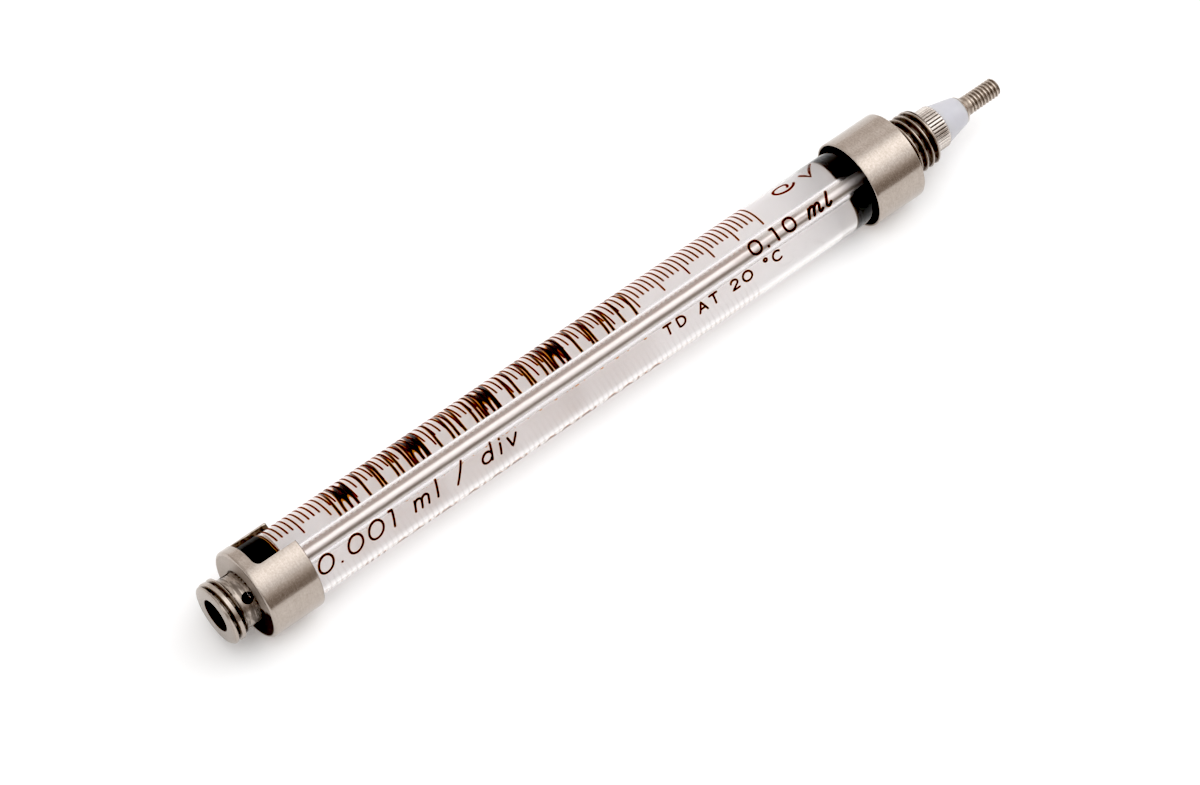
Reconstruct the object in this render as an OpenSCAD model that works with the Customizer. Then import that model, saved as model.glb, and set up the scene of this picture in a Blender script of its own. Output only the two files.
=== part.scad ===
// Precision microsyringe: a thick-walled glass barrel with a metal fitting
// cemented on each end and a solid metal plunger that runs in the barrel's bore.
// Millimetres. The barrel's axis is +X, from the nose to the plunger's stud.
// The origin is the centre of the nose's front face. +Z is up as it lies.
// Angles around the axis are measured from +Y towards +Z.

/* [Barrel] */
// Outside diameter of the glass barrel
glass_d = 7.82; // [7.6:0.02:7.9]
// Bore of the glass barrel
bore_d = 1.457; // [0.8:0.001:2.0]
// Distance from the nose's front face to the zero line
zero_x = 4.2; // [4.1:0.05:4.4]
// Length of the graduated scale
scale_len = 60; // [40:1:80]
// Chamfer on the ends of the glass
glass_chamfer = 0.15; // [0.05:0.05:0.3]

/* [Front fitting] */
// Outside diameter of both collars
collar_d = 9.12; // [9.0:0.02:9.4]
// Distance from the nose's front face to the front collar's front face
collar_front_x = 3.32; // [3.2:0.02:3.5]
// Length of the front collar
collar_len = 5.6; // [5.2:0.1:6.4]
// Outside diameter of the nose over its thread crests
nose_d = 6.2; // [6.0:0.05:6.4]
// Length of the nose up to the neck
nose_len = 1.6; // [1.4:0.05:1.8]
// Diameter of the plain neck behind the nose
neck_d = 5.2; // [4.8:0.05:5.4]
// Diameter of the bore in the nose
nose_bore_d = 3.26; // [2.8:0.02:3.6]
// Diameter of the cross holes in the neck
cross_hole_d = 1.15; // [0.8:0.05:1.2]
// Distance from the nose's front face to the cross holes' centres
cross_hole_x = 2.7; // [2.6:0.02:2.74]
// Angle of the first cross hole around the axis
cross_hole_angle = 124; // [0:1:359]
// Diameter of the front collar's bore, which leaves room for the cement
collar_bore_d = 8.0; // [7.96:0.02:8.2]
// Rounding of the front collar's front edge
collar_front_round = 0.28; // [0.1:0.02:0.4]
// Rounding of the front collar's rear edge
collar_rear_round = 0.14; // [0.05:0.01:0.2]

/* [Scale window] */
// Distance from the zero line to the window's front edge
window_start = 0.35; // [0.2:0.05:0.8]
// Angle of the window's lower edge around the axis
window_angle_high = 96.8; // [80:0.2:110]
// Angle of the window's far edge around the axis
window_angle_low = 19; // [0:1:40]
// Radius of the window's two inner corners
window_corner_r = 0.6; // [0.3:0.05:0.9]

/* [Rear fitting] */
// Distance from the zero line to the rear cup's mouth
cup_mouth = 71.1; // [71.0:0.1:74]
// Length of the rear cup
cup_len = 5.68; // [5.4:0.02:6.2]
// Wall thickness of the rear cup at its mouth
cup_wall = 0.2; // [0.15:0.01:0.3]
// Thickness of the web between the cup and the stub, up to the gland's seat
web = 2.2; // [2.0:0.1:2.6]
// Depth of the cup
cup_depth = 3.81; // [3.5:0.01:3.9]
// Outside diameter of the threaded stub
stub_d = 5.94; // [5.6:0.02:6.2]
// Length of the threaded stub
stub_len = 3.53; // [3.2:0.01:4.0]
// Bore of the stub, which takes the gland
stub_bore_d = 3.9; // [3.6:0.05:4.0]
// Clearance hole for the plunger through the web
web_hole_d = 1.7; // [1.6:0.05:1.9]

/* [Gland] */
// Diameter of the gland nut's ribbed head
head_d = 4.5; // [4.3:0.05:4.6]
// Length of the ribbed head
head_len = 1.95; // [1.6:0.05:2.4]
// Number of ribs around the head
rib_count = 38; // [24:1:48]
// Depth of the grooves between the ribs
rib_depth = 0.13; // [0.05:0.01:0.2]
// Length of the nut's shank inside the stub
shank_len = 2.0; // [1.6:0.1:2.2]
// Bore through the nut
nut_bore_d = 1.8; // [1.6:0.05:2.0]
// Diameter of the counterbore that holds the guide cone
nut_counterbore_d = 3.0; // [2.6:0.05:3.2]
// Depth of the counterbore
nut_counterbore_len = 1.05; // [0.8:0.05:1.4]
// Diameter of the guide cone at its large end
cone_large_d = 4.24; // [3.8:0.02:4.4]
// Diameter of the guide cone at its small end
cone_small_d = 2.9; // [2.6:0.05:3.2]
// Length of the guide cone
cone_len = 2.93; // [2.4:0.01:3.4]

/* [Plunger] */
// Radial running clearance between the plunger and the bore
run_clear = 0.015; // [0.01:0.001:0.05]
// Diameter of the stud's thread crests
stud_d = 1.96; // [1.8:0.02:2.1]
// Diameter of the flare at the stud's root
flare_d = 2.84; // [2.4:0.02:3.0]
// Length of the flare
flare_len = 0.76; // [0.5:0.02:1.0]
// Length of the stud from the flare to its end
stud_len = 3.8; // [3.0:0.05:4.4]
// Depth of the blind hole in the stud that holds the rod
stud_socket = 1.5; // [1.0:0.1:2.0]
// How far the plunger is drawn out
plunger_out = 0; // [0:1:60]

/* [Hidden] */

steel = "silver";
dark_steel = "darkgray";
epoxy = [0.06, 0.055, 0.05];
ptfe = [0.93, 0.92, 0.95];
clear = [0.88, 0.92, 0.92, 0.45];

eps = 0.01;
seam = 2.6;
rear_seam = 0.4;
round_fn = 96;
small_fn = 48;

glass_r = glass_d / 2;
bore_r = bore_d / 2;
rod_r = bore_r - run_clear;
collar_r = collar_d / 2;

// The glass seats on the shoulder at the bottom of each fitting.
glass_x0 = zero_x - 0.3;
collar_x1 = collar_front_x + collar_len;
window_x0 = zero_x + window_start;
cement_x1 = zero_x + 3;

cup_x0 = zero_x + cup_mouth;
cup_x1 = cup_x0 + cup_len;
cup_floor = cup_x0 + cup_depth;
glass_x1 = cup_floor;
stub_x1 = cup_x1 + stub_len;
seat_x = cup_floor + web;

head_x0 = stub_x1;
head_x1 = head_x0 + head_len;
shank_x0 = head_x0 - shank_len;
cone_x1 = head_x1 + cone_len;

// The flare rests against the guide cone when the plunger is fully in.
stop_gap = 0.02;
flare_x0 = cone_x1 + stop_gap;
flare_x1 = flare_x0 + flare_len;
stud_x1 = flare_x1 + stud_len;

// Points of a quarter arc from angle a to angle b about [cr, cx], in the
// radius / axial plane that turned() revolves.
function arc(cr, cx, r, a, b, n = 5) =
    [for (i = [0 : n]) let (t = a + (b - a) * i / n) [cr + r * cos(t), cx + r * sin(t)]];

// Revolves a closed outline of [radius, x] points about the X axis. The seam of
// each revolved face lies a little to one side of the line it rests on.
module turned(outline, fn = round_fn) {
    rotate([seam, 0, 0]) rotate([0, 90, 0]) rotate_extrude($fn = fn) polygon(outline);
}

// A plain round bar along X, from x0 to x1.
module bar_x(x0, x1, r, fn = round_fn) {
    translate([x0, 0, 0]) rotate([0, 90, 0]) cylinder(h = x1 - x0, r = r, $fn = fn);
}

// A round bar along a radius at angle a, through the station x.
module radial_bar(x, a, r, from, to, fn = small_fn) {
    rotate([a, 0, 0]) translate([x, from, 0]) rotate([-90, 0, 0])
        cylinder(h = to - from, r = r, $fn = fn);
}

// A sector of space between two angles around the axis, from x0 to x1.
module sector(x0, x1, a0, a1, r) {
    n = 6;
    pts = concat([[0, 0]], [for (i = [0 : n]) let (t = a0 + (a1 - a0) * i / n) [r * cos(t), r * sin(t)]]);
    translate([x0, 0, 0]) rotate([90, 0, 90]) linear_extrude(height = x1 - x0) polygon(pts);
}

module scale_window() {
    // the corner holes break 0.03 mm past the straight edges they meet
    over = 0.03;
    corner = asin((window_corner_r - over) / collar_r);
    far = collar_r * 2;
    // full-width part of the window
    sector(window_x0 + window_corner_r, collar_x1 + 1, window_angle_low, window_angle_high, far);
    // part between the two rounded corners
    sector(window_x0, window_x0 + 2 * window_corner_r, window_angle_low + corner, window_angle_high - corner, far - 1);
    for (a = [window_angle_low + corner, window_angle_high - corner])
        radial_bar(window_x0 + window_corner_r - over, a, window_corner_r, 2, far - 2);
}

module front_fitting() {
    f = collar_front_round;
    q = collar_rear_round;
    nose_r = nose_d / 2;
    neck_r = neck_d / 2;
    outline = concat(
        [[nose_bore_d / 2, 0], [nose_r - 0.22, 0], [nose_r, 0.22], [nose_r, nose_len - 0.2], [neck_r, nose_len]],
        [[neck_r, collar_front_x]],
        arc(collar_r - f, collar_front_x + f, f, -90, 0),
        arc(collar_r - q, collar_x1 - q, q, 0, 90),
        [[collar_bore_d / 2, collar_x1], [collar_bore_d / 2, glass_x0], [nose_bore_d / 2, glass_x0]]
    );
    color(steel) difference() {
        turned(outline);
        difference() {
            scale_window();
            bar_x(0, collar_x1 + 2, collar_bore_d / 2 - 0.5);
        }
        for (a = [0, 90, 180, 270])
            radial_bar(cross_hole_x, cross_hole_angle + a, cross_hole_d / 2, 0.8, neck_r + 0.4);
    }
}

module glass_barrel() {
    c = glass_chamfer;
    color(clear) turned([
        [bore_r, glass_x0], [glass_r - c, glass_x0], [glass_r, glass_x0 + c],
        [glass_r, glass_x1 - c], [glass_r - c, glass_x1], [bore_r, glass_x1]
    ]);
}

module front_cement() {
    b = collar_bore_d / 2;
    c = glass_chamfer;
    color(epoxy) turned([
        [glass_r, glass_x0 + c], [glass_r - c, glass_x0], [b, glass_x0], [b, cement_x1 - 0.06], [b - 0.05, cement_x1], [glass_r, cement_x1]
    ]);
}

module rear_fitting() {
    w = cup_wall / 2;
    rim = collar_r - w;
    stub_r = stub_d / 2;
    outline = concat(
        arc(rim, cup_x0 + w, w, -180, 0, 8),
        [[collar_r, cup_x1 - 0.05], [collar_r - 0.05, cup_x1], [stub_r - 0.35, cup_x1], [stub_r - 0.35, cup_x1 + 0.25]],
        [[stub_r, cup_x1 + 0.45], [stub_r, stub_x1 - 0.22], [stub_r - 0.22, stub_x1], [stub_bore_d / 2, stub_x1]],
        [[stub_bore_d / 2, seat_x], [web_hole_d / 2, seat_x], [web_hole_d / 2, cup_floor], [collar_r - cup_wall, cup_floor]]
    );
    color(steel) rotate([rear_seam - seam, 0, 0]) turned(outline);
}

module rear_cement() {
    b = collar_r - cup_wall;
    c = glass_chamfer;
    top = cup_x0 + 0.3;
    color(epoxy) turned([
        [glass_r, top], [b, top - 0.08], [b, cup_floor], [glass_r - c, cup_floor], [glass_r, cup_floor - c]
    ]);
}

// Outline of the ribbed head: flat-topped ribs with vee grooves between them.
module rib_section() {
    step = 360 / rib_count;
    r1 = head_d / 2;
    r0 = r1 - rib_depth;
    polygon([for (i = [0 : rib_count - 1]) for (p = [[-0.28, r1], [0.12, r1], [0.42, r0]])
        [p[1] * cos((i + p[0]) * step), p[1] * sin((i + p[0]) * step)]]);
}

module gland_nut() {
    c = 0.16;
    r1 = head_d / 2;
    color(steel) difference() {
        union() {
            intersection() {
                translate([head_x0, 0, 0]) rotate([90, 0, 90]) linear_extrude(height = head_len) rib_section();
                turned([[0, head_x0], [r1 - 0.08, head_x0], [r1 + eps, head_x0 + 0.09],
                        [r1 + eps, head_x1 - c], [r1 - c, head_x1], [0, head_x1]]);
            }
            turned([[0, shank_x0], [stub_bore_d / 2 - 0.15, shank_x0], [stub_bore_d / 2 - 0.01, shank_x0 + 0.15],
                    [stub_bore_d / 2 - 0.01, head_x0 + 0.1], [0, head_x0 + 0.1]]);
        }
        bar_x(shank_x0 - 1, head_x1 + 1, nut_bore_d / 2, small_fn);
        bar_x(head_x1 - nut_counterbore_len, head_x1 + 1, nut_counterbore_d / 2);
    }
}

module packing_ring() {
    color(ptfe) difference() {
        bar_x(seat_x, shank_x0, stub_bore_d / 2 - 0.01);
        bar_x(seat_x - 1, shank_x0 + 1, rod_r + 0.02, small_fn);
    }
}

module guide_cone() {
    r1 = cone_large_d / 2;
    r2 = cone_small_d / 2;
    spigot = nut_counterbore_d / 2 - 0.01;
    inner = rod_r + 0.02;
    color(ptfe) turned([
        [inner, head_x1 - nut_counterbore_len], [spigot, head_x1 - nut_counterbore_len], [spigot, head_x1],
        [r1 - 0.08, head_x1], [r1, head_x1 + 0.1], [r2 + 0.02, cone_x1 - 0.06], [r2 - 0.04, cone_x1], [inner, cone_x1]
    ]);
}

module plunger_rod() {
    c = 0.06;
    color(dark_steel) translate([plunger_out, 0, 0]) turned([
        [0, zero_x], [rod_r - c, zero_x], [rod_r, zero_x + c],
        [rod_r, flare_x0 + stud_socket], [0, flare_x0 + stud_socket]
    ], small_fn);
}

module plunger_stud() {
    r = stud_d / 2;
    fr = flare_d / 2;
    rf = flare_len;
    color(steel) translate([plunger_out, 0, 0]) difference() {
        turned(concat(
            [[0, flare_x0], [fr - 0.05, flare_x0], [fr, flare_x0 + 0.05]],
            // concave flare, tangent to the stud
            [for (i = [1 : 6]) let (t = i / 6) [r + (fr - r) * pow(1 - t, 2), flare_x0 + 0.05 + (rf - 0.05) * t]],
            [[r, stud_x1 - 0.2], [r - 0.2, stud_x1], [0, stud_x1]]
        ), small_fn);
        bar_x(flare_x0 - 1, flare_x0 + stud_socket, rod_r, small_fn);
    }
}

front_fitting();
glass_barrel();
front_cement();
rear_fitting();
rear_cement();
gland_nut();
packing_ring();
guide_cone();
plunger_rod();
plunger_stud();
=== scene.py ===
import math

import bmesh
import bpy
import numpy as np
from mathutils import Matrix, Vector


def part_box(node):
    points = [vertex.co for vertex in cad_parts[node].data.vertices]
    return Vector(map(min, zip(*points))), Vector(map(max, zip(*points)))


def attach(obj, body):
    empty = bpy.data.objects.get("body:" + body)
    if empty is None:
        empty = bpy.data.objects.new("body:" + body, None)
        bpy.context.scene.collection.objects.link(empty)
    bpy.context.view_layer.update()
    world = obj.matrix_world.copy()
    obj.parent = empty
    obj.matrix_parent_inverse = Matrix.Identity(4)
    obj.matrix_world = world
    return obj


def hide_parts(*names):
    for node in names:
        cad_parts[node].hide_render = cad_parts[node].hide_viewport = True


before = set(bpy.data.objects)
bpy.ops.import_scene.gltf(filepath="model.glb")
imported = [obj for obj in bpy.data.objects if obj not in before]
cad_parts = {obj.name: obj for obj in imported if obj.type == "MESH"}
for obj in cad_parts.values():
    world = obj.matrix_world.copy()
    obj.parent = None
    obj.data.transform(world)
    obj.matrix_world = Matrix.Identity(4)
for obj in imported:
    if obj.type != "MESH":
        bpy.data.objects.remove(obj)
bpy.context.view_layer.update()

MM = 0.001
TAU = 2 * math.pi

# ---------------------------------------------------------------- sizes, mm
# Stations along the axis, as the frame has them.
def lo_hi(node):
    a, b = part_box(node)
    return a.x / MM, b.x / MM

GLASS_X0, GLASS_X1 = lo_hi("glass_barrel")
GLASS_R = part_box("glass_barrel")[1].z / MM
BORE_R = 0.7285
ROD_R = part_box("plunger_rod")[1].z / MM
ZERO_X = lo_hi("plunger_rod")[0]
COLLAR_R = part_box("front_fitting")[1].z / MM
COLLAR_X0, COLLAR_X1 = 3.32, lo_hi("front_fitting")[1]
NOSE_R, NECK_R, NOSE_BORE_R = 3.1, 2.6, 1.63
CEMENT_X1 = lo_hi("front_cement")[1]
CUP_X0, STUB_X1 = lo_hi("rear_fitting")
CUP_X1 = CUP_X0 + 5.68
CUP_FLOOR = CUP_X0 + 3.81
STUB_R, STUB_BORE_R = 2.97, 1.95
SEAT_X = lo_hi("packing_ring")[0]
HEAD_X0, HEAD_X1 = STUB_X1, lo_hi("gland_nut")[1]
SHANK_X0 = lo_hi("gland_nut")[0]
CONE_X1 = lo_hi("guide_cone")[1]
FLARE_X0, STUD_X1 = lo_hi("plunger_stud")
DIV = 0.6                      # one division of the scale


# ---------------------------------------------------------------- mesh tools
def mesh_object(name, verts, faces, material, body, sharp=32.0, merge=0.0, attributes=None):
    """A closed mesh from points in mm, smooth apart from edges sharper than `sharp` degrees."""
    me = bpy.data.meshes.new(name)
    me.from_pydata([(x * MM, y * MM, z * MM) for x, y, z in verts], [], faces)
    me.update()
    ob = bpy.data.objects.new(name, me)
    bpy.context.scene.collection.objects.link(ob)
    clean(ob, sharp, merge)
    me.materials.append(material)
    if body:
        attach(ob, body)
    return ob


def clean(ob, sharp, merge=0.0):
    me = ob.data
    bm = bmesh.new()
    bm.from_mesh(me)
    if merge:
        bmesh.ops.remove_doubles(bm, verts=bm.verts, dist=merge * MM)
        bmesh.ops.dissolve_degenerate(bm, edges=bm.edges, dist=merge * MM)
    bmesh.ops.recalc_face_normals(bm, faces=bm.faces)
    limit = math.radians(sharp)
    for f in bm.faces:
        f.smooth = True
    for e in bm.edges:
        e.smooth = not (len(e.link_faces) == 2 and e.calc_face_angle(0.0) > limit)
    bm.to_mesh(me)
    bm.free()
    me.update()


class Helix:
    """A stretch of right-hand thread between x0 and x1, for turned(). depth(p) is the groove's depth at the part p of a pitch, and limit(x) is the most the radius may be."""

    def __init__(self, x0, x1, pitch, radius, depth, steps=16, limit=None, start=0.0):
        self.x0, self.x1, self.pitch, self.radius = x0, x1, pitch, radius
        self.depth, self.steps, self.limit, self.start = depth, steps, limit, start


def turned(name, outline, n, material, body, sharp=32.0, angle=None, flip=False):
    """Revolves a closed outline of (radius, x) points and Helix stretches about the X axis. angle(theta, r, x) may change a plain point."""
    rows, wrap = [], []
    for item in outline:
        if isinstance(item, Helix):
            k = item.steps
            count = int(math.ceil(((item.x1 - item.x0) / item.pitch + 1) * k)) + 1
            first = len(rows)
            for i in range(count):
                t = i / k
                row = []
                for j in range(n):
                    x = item.x0 + (t - 1 + j / n) * item.pitch
                    x = min(max(x, item.x0), item.x1)
                    p = ((x - item.x0) / item.pitch - j / n + item.start) % 1.0
                    r = item.radius - item.depth(p, x)
                    if item.limit:
                        r = min(r, item.limit(x))
                    row.append((r, x))
                rows.append(row)
            last = len(rows) - 1
            wrap += [min(i + k, last) for i in range(first, last + 1)]
        else:
            r, x = item
            rows.append([(angle(TAU * j / n, r, x) if angle else (r, x)) for j in range(n)])
            wrap.append(len(rows) - 1)
    verts, faces = [], []
    for row in rows:
        for j, (r, x) in enumerate(row):
            a = TAU * j / n
            verts.append((x, r * math.cos(a), r * math.sin(a)))
    m = len(rows)
    for i in range(m):
        k = (i + 1) % m
        for j in range(n):
            if j < n - 1:
                quad = (i * n + j, i * n + j + 1, k * n + j + 1, k * n + j)
            else:
                quad = (i * n + j, wrap[i] * n, wrap[k] * n, k * n + j)
            if len(set(quad)) == 4:
                faces.append(quad)
    return mesh_object(name, verts, faces, material, body, sharp, merge=0.0004)


def arc(cr, cx, r, a, b, n=6):
    return [(cr + r * math.cos(math.radians(a + (b - a) * i / n)),
             cx + r * math.sin(math.radians(a + (b - a) * i / n))) for i in range(n + 1)]


def vee(depth, crest, root, p):
    """Depth of a vee groove with a flat crest and root, with softened corners. p runs 0 to 1 over a pitch."""
    d = abs(p - 0.5) * 2                       # 1 on the crest, 0 in the root
    t = min(max((1 - crest - d) / (1 - crest - root), 0), 1)
    return depth * (t + 0.12 * math.sin(TAU * t) * -0.5)


def boolean(ob, cutter):
    mod = ob.modifiers.new("cut", "BOOLEAN")
    mod.operation, mod.solver, mod.object = "DIFFERENCE", "EXACT", cutter
    bpy.context.view_layer.update()
    me = bpy.data.meshes.new_from_object(ob.evaluated_get(bpy.context.evaluated_depsgraph_get()))
    ob.modifiers.clear()
    old = ob.data
    ob.data = me
    me.name = old.name
    bpy.data.meshes.remove(old)
    bpy.data.objects.remove(cutter)


def loft(name, loops, close=True):
    """A plain closed solid through loops of the same number of points, in mm."""
    verts = [p for loop in loops for p in loop]
    n = len(loops[0])
    faces = [tuple(reversed(range(n))), tuple((len(loops) - 1) * n + i for i in range(n))]
    for k in range(len(loops) - 1):
        for i in range(n):
            j = (i + 1) % n
            faces.append((k * n + i, k * n + j, (k + 1) * n + j, (k + 1) * n + i))
    me = bpy.data.meshes.new(name)
    me.from_pydata([(x * MM, y * MM, z * MM) for x, y, z in verts], [], faces)
    bm = bmesh.new()
    bm.from_mesh(me)
    bmesh.ops.recalc_face_normals(bm, faces=bm.faces)
    bm.to_mesh(me)
    bm.free()
    ob = bpy.data.objects.new(name, me)
    bpy.context.scene.collection.objects.link(ob)
    return ob


def at(x, r, deg):
    a = math.radians(deg)
    return (x, r * math.cos(a), r * math.sin(a))


# ---------------------------------------------------------------- materials
def new_material(name):
    m = bpy.data.materials.new(name)
    m.use_nodes = True
    nt = m.node_tree
    nt.nodes.clear()
    out = nt.nodes.new("ShaderNodeOutputMaterial")
    return m, nt, out


def node(nt, kind, **values):
    nd = nt.nodes.new(kind)
    for k, v in values.items():
        if k in nd.inputs:
            nd.inputs[k].default_value = v
        else:
            setattr(nd, k, v)
    return nd


def link(nt, a, b):
    nt.links.new(a, b)


def scaled_coords(nt, scale):
    tc = nt.nodes.new("ShaderNodeTexCoord")
    mp = nt.nodes.new("ShaderNodeMapping")
    mp.inputs["Scale"].default_value = scale
    link(nt, tc.outputs["Object"], mp.inputs["Vector"])
    return mp.outputs["Vector"]


def noise(nt, scale, detail=3.0, rough=0.55, size=1.0):
    nd = nt.nodes.new("ShaderNodeTexNoise")
    nd.inputs["Scale"].default_value = size
    nd.inputs["Detail"].default_value = detail
    nd.inputs["Roughness"].default_value = rough
    link(nt, scaled_coords(nt, scale), nd.inputs["Vector"])
    return nd.outputs["Fac"]


def ramp(nt, fac, stops):
    nd = nt.nodes.new("ShaderNodeValToRGB")
    els = nd.color_ramp.elements
    while len(els) < len(stops):
        els.new(0.5)
    for e, (p, c) in zip(els, stops):
        e.position = p
        e.color = (*c, 1) if len(c) == 3 else c
    link(nt, fac, nd.inputs["Fac"])
    return nd.outputs["Color"]


def math_node(nt, op, a, b=None, c=None, clamp=False):
    nd = nt.nodes.new("ShaderNodeMath")
    nd.operation = op
    nd.use_clamp = clamp
    for i, v in enumerate((a, b, c)):
        if v is None:
            continue
        if isinstance(v, (int, float)):
            nd.inputs[i].default_value = v
        else:
            link(nt, v, nd.inputs[i])
    return nd.outputs[0]


def bump(nt, height, distance_mm, strength=1.0, normal=None):
    nd = nt.nodes.new("ShaderNodeBump")
    nd.inputs["Distance"].default_value = distance_mm * MM
    nd.inputs["Strength"].default_value = strength
    link(nt, height, nd.inputs["Height"])
    if normal is not None:
        link(nt, normal, nd.inputs["Normal"])
    return nd.outputs["Normal"]


def place_nodes(nt):
    """Station along the axis, radius and angle about it, in mm and radians."""
    tc = nt.nodes.new("ShaderNodeTexCoord")
    sep = nt.nodes.new("ShaderNodeSeparateXYZ")
    link(nt, tc.outputs["Object"], sep.inputs[0])
    y, z = sep.outputs["Y"], sep.outputs["Z"]
    r = math_node(nt, "SQRT", math_node(nt, "ADD", math_node(nt, "MULTIPLY", y, y), math_node(nt, "MULTIPLY", z, z)))
    return math_node(nt, "DIVIDE", sep.outputs["X"], MM), math_node(nt, "DIVIDE", r, MM), math_node(nt, "ARCTAN2", z, y)


def step(nt, value, a, b, lo=0.0, hi=1.0):
    """Goes smoothly from lo at a to hi at b."""
    nd = nt.nodes.new("ShaderNodeMapRange")
    nd.interpolation_type = "SMOOTHSTEP"
    link(nt, value, nd.inputs["Value"])
    for key, v in (("From Min", a), ("From Max", b), ("To Min", lo), ("To Max", hi)):
        nd.inputs[key].default_value = v
    return nd.outputs["Result"]


def product(nt, *values):
    out = values[0]
    for v in values[1:]:
        out = math_node(nt, "MULTIPLY", out, v)
    return out


def mix_color(nt, fac, a, b):
    nd = nt.nodes.new("ShaderNodeMix")
    nd.data_type = "RGBA"
    link(nt, fac, nd.inputs["Factor"])
    for key, v in (("A", a), ("B", b)):
        if isinstance(v, tuple):
            nd.inputs[key].default_value = (*v, 1)
        else:
            link(nt, v, nd.inputs[key])
    return nd.outputs["Result"]


def steel(name, light, dark, rough=0.20, aniso=0.6, ring=0.22, grain=0.35, dirt_and_shade=None, dirt_and_shade_color=(0.035, 0.020, 0.011), mottle=1.0, dull=None):
    """Turned stainless steel: fine rings around the axis, a satin grain and slow changes of tone. The optional mask
    function gives where dirt gathers and where shade is painted into the colour.
    """
    m, nt, out = new_material(name)
    b = node(nt, "ShaderNodeBsdfPrincipled", Metallic=1.0)
    b.inputs["Anisotropic"].default_value = aniso
    b.inputs["Anisotropic Rotation"].default_value = 0.25       # turned marks run around, so gloss spreads along
    tan = nt.nodes.new("ShaderNodeTangent")
    tan.direction_type, tan.axis = "RADIAL", "X"
    link(nt, tan.outputs[0], b.inputs["Tangent"])
    rings = noise(nt, (9000, 260, 260), 4.0, 0.6)
    grainy = noise(nt, (5200, 5200, 5200), 2.0, 0.6)
    slow = noise(nt, (1100, 1100, 1100), 3.0, 0.6)
    tone = math_node(nt, "MULTIPLY_ADD", rings, 0.30, math_node(nt, "MULTIPLY_ADD", grainy, 0.55, math_node(nt, "MULTIPLY", slow, 0.15)))
    w = 0.10 / mottle
    col = ramp(nt, tone, [(0.5 - w, dark), (0.5 + w, light)])
    r = math_node(nt, "MULTIPLY_ADD", tone, 0.22, rough - 0.11, clamp=True)
    # Where the mask says, the colour turns dark brown and rougher: real dirt, and painted shade.
    if dirt_and_shade:
        g = math_node(nt, "MINIMUM", dirt_and_shade(nt), 1.0)
        col = mix_color(nt, g, col, dirt_and_shade_color)
        r = math_node(nt, "MULTIPLY_ADD", g, 0.35, r, clamp=True)
    link(nt, col, b.inputs["Base Color"])
    if dull:                                                    # faced ends are less bright than the turned sides
        r = math_node(nt, "MULTIPLY_ADD", dull(nt), 0.30, r, clamp=True)
    link(nt, r, b.inputs["Roughness"])
    n1 = bump(nt, rings, 0.004 * ring)
    n2 = bump(nt, grainy, 0.004 * grain, normal=n1)
    link(nt, n2, b.inputs["Normal"])
    link(nt, b.outputs[0], out.inputs["Surface"])
    return m


def front_dull(nt):
    x, r, a = place_nodes(nt)
    return product(nt, step(nt, x, 3.20, 3.25), step(nt, x, 3.42, 3.36), step(nt, r, 4.34, 4.26))


# Where the front fitting's colour turns dark: painted shade on the nose's front face, in the bore, its mouth and the
# cross holes, and where the neck meets the thread and the collar; a painted shadow under the neck on the collar's face;
# brown dirt streaks on the neck; the thread roots and the collar's rear edge darkened, more in patches.
def front_dirt_and_shade(nt):
    x, r, a = place_nodes(nt)
    patches = noise(nt, (1500, 1500, 1500), 4.0, 0.65)
    fine = noise(nt, (4200, 4200, 4200), 3.0, 0.6)
    streaks = noise(nt, (3600, 650, 650), 3.0, 0.6)
    # Painted shade: the nose's front face is made a little darker.
    face = step(nt, x, 0.12, 0.05, 0.0, 0.13)
    # Painted shade in the bore, its mouth and the cross holes.
    inside = product(nt, step(nt, r, 2.575, 2.545), step(nt, x, 0.05, 0.10))
    mouth = step(nt, r, 1.72, 1.66)
    groove = product(nt, step(nt, r, 3.02, 2.80), step(nt, x, 0.10, 0.22), step(nt, x, 1.76, 1.64), step(nt, patches, 0.36, 0.58, 0.40, 1.0))
    neck = product(nt, step(nt, r, 2.75, 2.66), step(nt, x, 1.60, 1.66), step(nt, streaks, 0.42, 0.62, 0.06, 0.62))
    # Painted shade where the neck meets the thread and the collar.
    ends = product(nt, step(nt, r, 2.75, 2.66), step(nt, x, 1.58, 1.62), math_node(nt, "MAXIMUM", step(nt, x, 1.85, 1.62), step(nt, x, 2.90, 3.28)), step(nt, fine, 0.35, 0.6, 0.35, 0.95))
    side = math_node(nt, "MULTIPLY_ADD", patches, 0.25, math_node(nt, "MULTIPLY", math_node(nt, "COSINE", math_node(nt, "SUBTRACT", a, math.radians(208))), -1.0))
    # Painted shade: the collar's face below the neck, around 208 degrees, is darkened as a reflection of the floor in
    # the neck's shadow.
    under_neck_shade = product(nt, step(nt, x, 3.24, 3.28), step(nt, x, 3.42, 3.37), step(nt, r, 4.32, 4.20), step(nt, side, -0.46, -0.56), step(nt, fine, 0.2, 0.6, 0.95, 1.0))
    lip = product(nt, step(nt, x, COLLAR_X1 - 0.13, COLLAR_X1 - 0.04), step(nt, r, 4.3, 4.4), step(nt, patches, 0.3, 0.6, 0.35, 0.75))
    out = inside
    for other in (face, mouth, groove, neck, ends, under_neck_shade, lip):
        out = math_node(nt, "MAXIMUM", out, other)
    return out


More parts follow.
